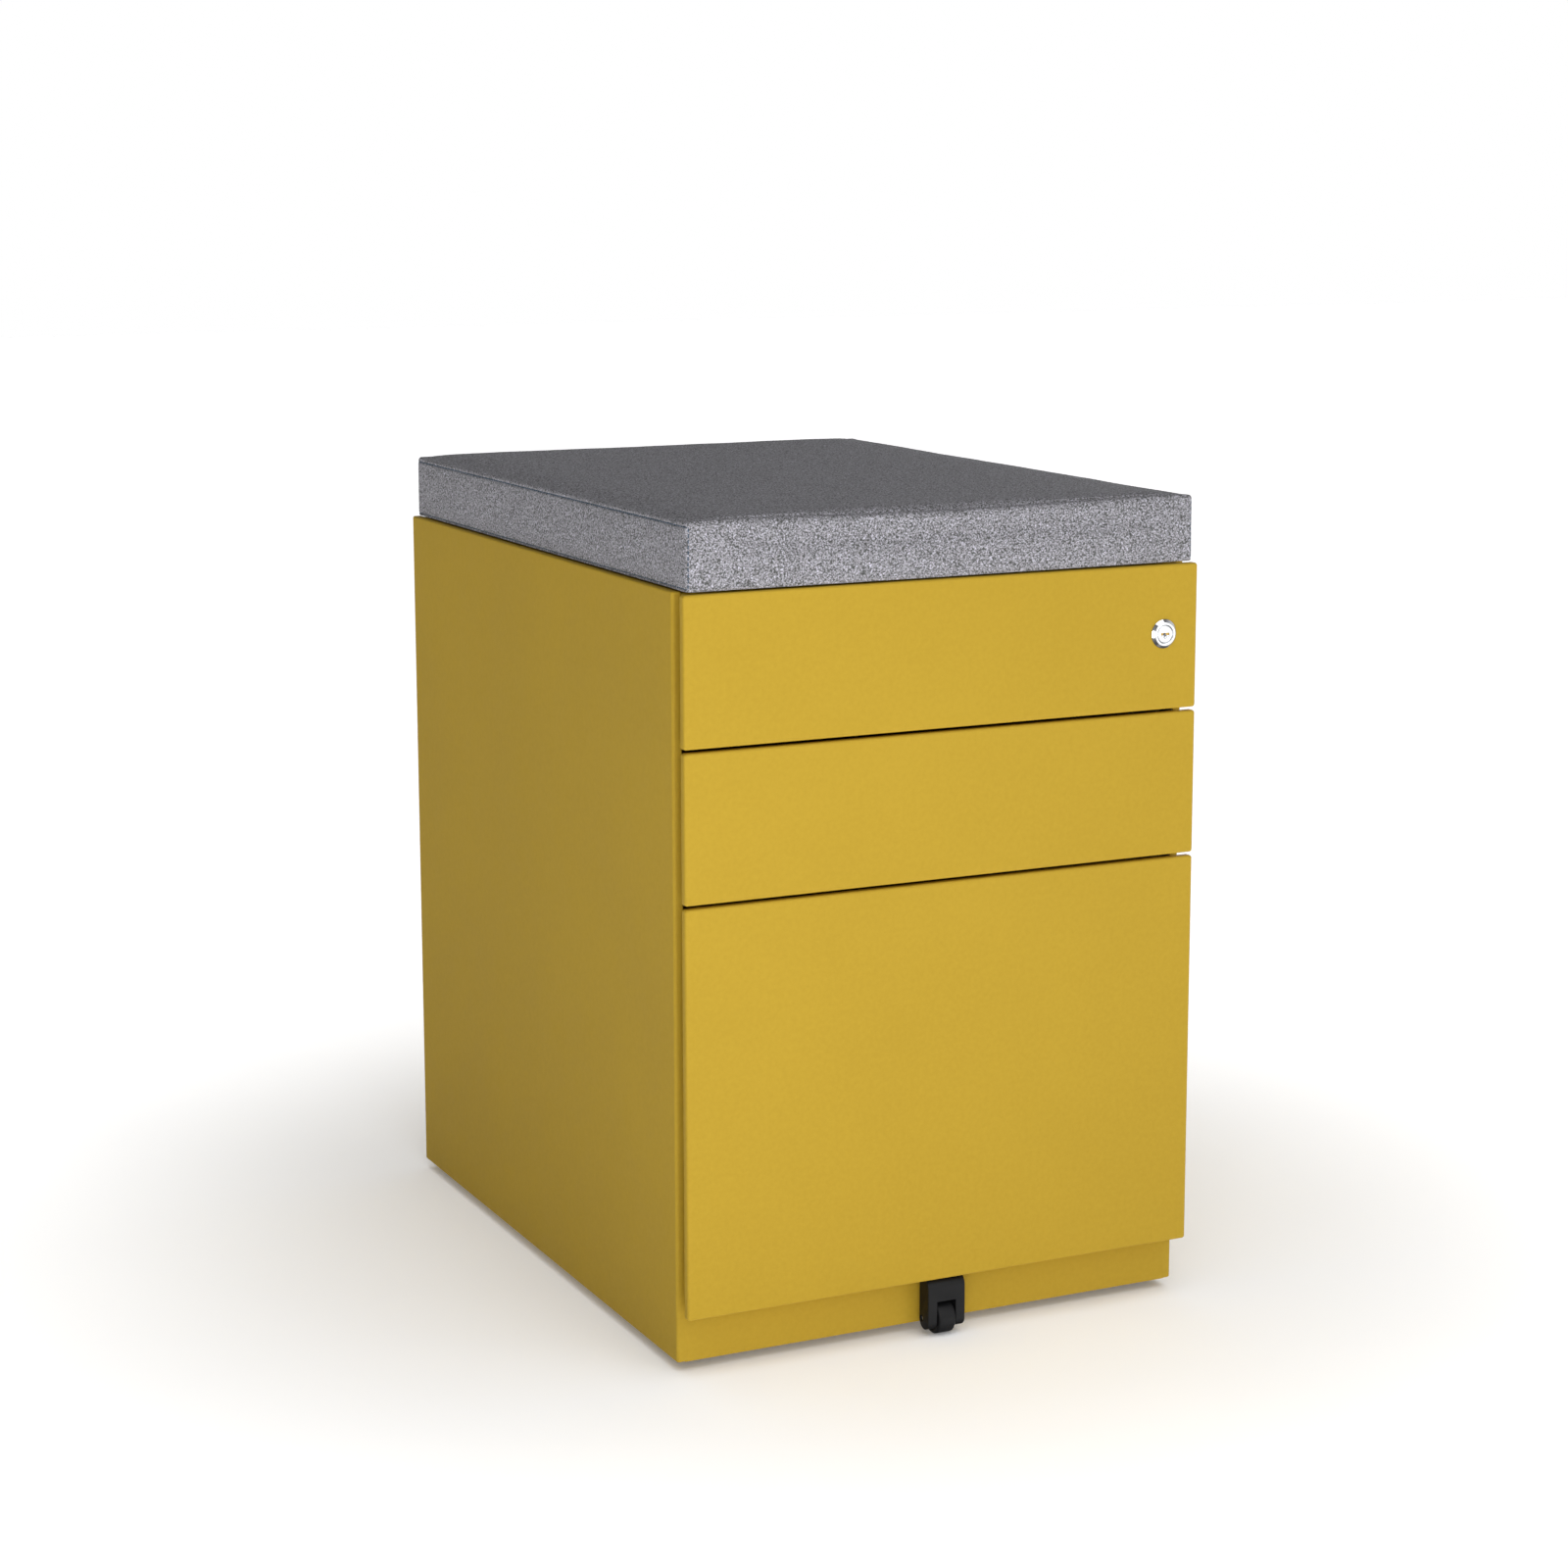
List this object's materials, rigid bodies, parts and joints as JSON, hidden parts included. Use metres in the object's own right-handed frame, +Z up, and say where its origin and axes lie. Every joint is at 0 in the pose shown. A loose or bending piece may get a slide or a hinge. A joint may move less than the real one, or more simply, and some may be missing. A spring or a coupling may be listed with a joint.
{
  "type": "mobile filing pedestal",
  "caption": "Mobile steel filing pedestal with handleless drawers, a cam lock, castors, an anti-tip wheel and a padded seat cushion on top.",
  "frame": {"origin": "on the floor, under the middle of the overall box", "axes": "+X to the right seen from the front, +Y towards the back, +Z up; the drawers open towards -Y"},
  "size_m": [0.42, 0.5674, 0.6235],
  "materials": {
    "yellow_powder_coat": "satin powder coat with a faint fine texture",
    "zinc_plated_steel": "bright zinc-plated rolled steel",
    "chrome": "polished chrome",
    "black_plastic": "black moulded plastic, satin",
    "castor_tread": "dark grey moulded nylon",
    "cushion_fabric": "grey woven crepe upholstery with blue-grey stitching",
    "plywood": "raw birch plywood",
    "rubber_mat": "matt anti-slip rubber"
  },
  "bodies": {
    "carcass": {"left_side_panel": "yellow_powder_coat", "right_side_panel": "yellow_powder_coat", "top_panel": "yellow_powder_coat", "back_panel": "yellow_powder_coat", "base_pan": "yellow_powder_coat", "front_plinth": "yellow_powder_coat", "left_front_upright": "zinc_plated_steel", "left_rear_upright": "zinc_plated_steel", "right_front_upright": "zinc_plated_steel", "right_rear_upright": "zinc_plated_steel", "drawer_1_left_slide_outer": "zinc_plated_steel", "drawer_1_right_slide_outer": "zinc_plated_steel", "drawer_2_left_slide_outer": "zinc_plated_steel", "drawer_2_right_slide_outer": "zinc_plated_steel", "drawer_3_left_slide_outer": "zinc_plated_steel", "drawer_3_right_slide_outer": "zinc_plated_steel", "lock_bar_guide_lower": "zinc_plated_steel", "lock_bar_guide_upper": "zinc_plated_steel", "front_left_castor_plate": "zinc_plated_steel", "front_right_castor_plate": "zinc_plated_steel", "rear_left_castor_plate": "zinc_plated_steel", "rear_right_castor_plate": "zinc_plated_steel", "seat_cushion": "cushion_fabric", "cushion_board": "plywood", "grip_mat": "rubber_mat"},
    "drawer_1": {"drawer_1_front": "yellow_powder_coat", "drawer_1_inner_pan": "yellow_powder_coat", "drawer_1_tray": "yellow_powder_coat", "drawer_1_left_slide_inner": "zinc_plated_steel", "drawer_1_right_slide_inner": "zinc_plated_steel", "lock_housing": "chrome", "lock_nut": "zinc_plated_steel"},
    "drawer_2": {"drawer_2_front": "yellow_powder_coat", "drawer_2_inner_pan": "yellow_powder_coat", "drawer_2_tray": "yellow_powder_coat", "drawer_2_left_slide_inner": "zinc_plated_steel", "drawer_2_right_slide_inner": "zinc_plated_steel"},
    "drawer_3": {"drawer_3_front": "yellow_powder_coat", "drawer_3_inner_pan": "yellow_powder_coat", "drawer_3_tray": "yellow_powder_coat", "drawer_3_left_slide_inner": "zinc_plated_steel", "drawer_3_right_slide_inner": "zinc_plated_steel", "file_rail_left": "zinc_plated_steel", "file_rail_right": "zinc_plated_steel", "anti_tip_housing": "black_plastic", "anti_tip_axle": "zinc_plated_steel"},
    "drawer_3_slide_middles": {"drawer_3_left_slide_middle": "zinc_plated_steel", "drawer_3_right_slide_middle": "zinc_plated_steel"},
    "lock_cylinder": {"lock_plug": "chrome", "lock_cam": "zinc_plated_steel"},
    "lock_bar": {"lock_bar": "zinc_plated_steel"},
    "anti_tip_wheel": {"anti_tip_wheel": "black_plastic"},
    "front_left_castor_fork": {"front_left_castor_fork": "zinc_plated_steel"},
    "front_left_castor_wheel": {"front_left_castor_wheel": "castor_tread"},
    "front_right_castor_fork": {"front_right_castor_fork": "zinc_plated_steel"},
    "front_right_castor_wheel": {"front_right_castor_wheel": "castor_tread"},
    "rear_left_castor_fork": {"rear_left_castor_fork": "zinc_plated_steel"},
    "rear_left_castor_wheel": {"rear_left_castor_wheel": "castor_tread"},
    "rear_right_castor_fork": {"rear_right_castor_fork": "zinc_plated_steel"},
    "rear_right_castor_wheel": {"rear_right_castor_wheel": "castor_tread"}
  },
  "joints": [
    {"name": "drawer_1_slide", "type": "slide", "parent": "carcass", "child": "drawer_1", "axis": [0, -1, 0], "range_m": [0, 0.36]},
    {"name": "drawer_2_slide", "type": "slide", "parent": "carcass", "child": "drawer_2", "axis": [0, -1, 0], "range_m": [0, 0.36]},
    {"name": "drawer_3_slide", "type": "slide", "parent": "carcass", "child": "drawer_3", "axis": [0, -1, 0], "range_m": [0, 0.46]},
    {"name": "drawer_3_middle_slide", "type": "slide", "parent": "carcass", "child": "drawer_3_slide_middles", "axis": [0, -1, 0], "range_m": [0, 0.23]},
    {"name": "lock_turn", "type": "hinge", "parent": "drawer_1", "child": "lock_cylinder", "pos_m": [0.181, -0.28, 0.5197], "axis": [0, 1, 0], "range_deg": [0, 90]},
    {"name": "lock_bar_drop", "type": "slide", "parent": "carcass", "child": "lock_bar", "axis": [0, 0, -1], "range_m": [0, 0.012]},
    {"name": "front_left_castor_swivel", "type": "hinge", "parent": "carcass", "child": "front_left_castor_fork", "pos_m": [-0.168, -0.21275, 0.04], "axis": [0, 0, 1], "continuous": true},
    {"name": "front_left_castor_roll", "type": "hinge", "parent": "front_left_castor_fork", "child": "front_left_castor_wheel", "pos_m": [-0.168, -0.20075, 0.015], "axis": [1, 0, 0], "continuous": true},
    {"name": "front_right_castor_swivel", "type": "hinge", "parent": "carcass", "child": "front_right_castor_fork", "pos_m": [0.168, -0.21275, 0.04], "axis": [0, 0, 1], "continuous": true},
    {"name": "front_right_castor_roll", "type": "hinge", "parent": "front_right_castor_fork", "child": "front_right_castor_wheel", "pos_m": [0.168, -0.20075, 0.015], "axis": [1, 0, 0], "continuous": true},
    {"name": "rear_left_castor_swivel", "type": "hinge", "parent": "carcass", "child": "rear_left_castor_fork", "pos_m": [-0.168, 0.23725, 0.04], "axis": [0, 0, 1], "continuous": true},
    {"name": "rear_left_castor_roll", "type": "hinge", "parent": "rear_left_castor_fork", "child": "rear_left_castor_wheel", "pos_m": [-0.168, 0.24925, 0.015], "axis": [1, 0, 0], "continuous": true},
    {"name": "rear_right_castor_swivel", "type": "hinge", "parent": "carcass", "child": "rear_right_castor_fork", "pos_m": [0.168, 0.23725, 0.04], "axis": [0, 0, 1], "continuous": true},
    {"name": "rear_right_castor_roll", "type": "hinge", "parent": "rear_right_castor_fork", "child": "rear_right_castor_wheel", "pos_m": [0.168, 0.24925, 0.015], "axis": [1, 0, 0], "continuous": true},
    {"name": "anti_tip_roll", "type": "hinge", "parent": "drawer_3", "child": "anti_tip_wheel", "pos_m": [0.002, -0.26825, 0.013], "axis": [1, 0, 0], "continuous": true}
  ],
  "couplings": [
    {"joint": "drawer_3_middle_slide", "follows": "drawer_3_slide", "ratio": 0.5},
    {"joint": "lock_turn", "follows": "lock_bar_drop", "rad_per_m": 130.9}
  ]
}
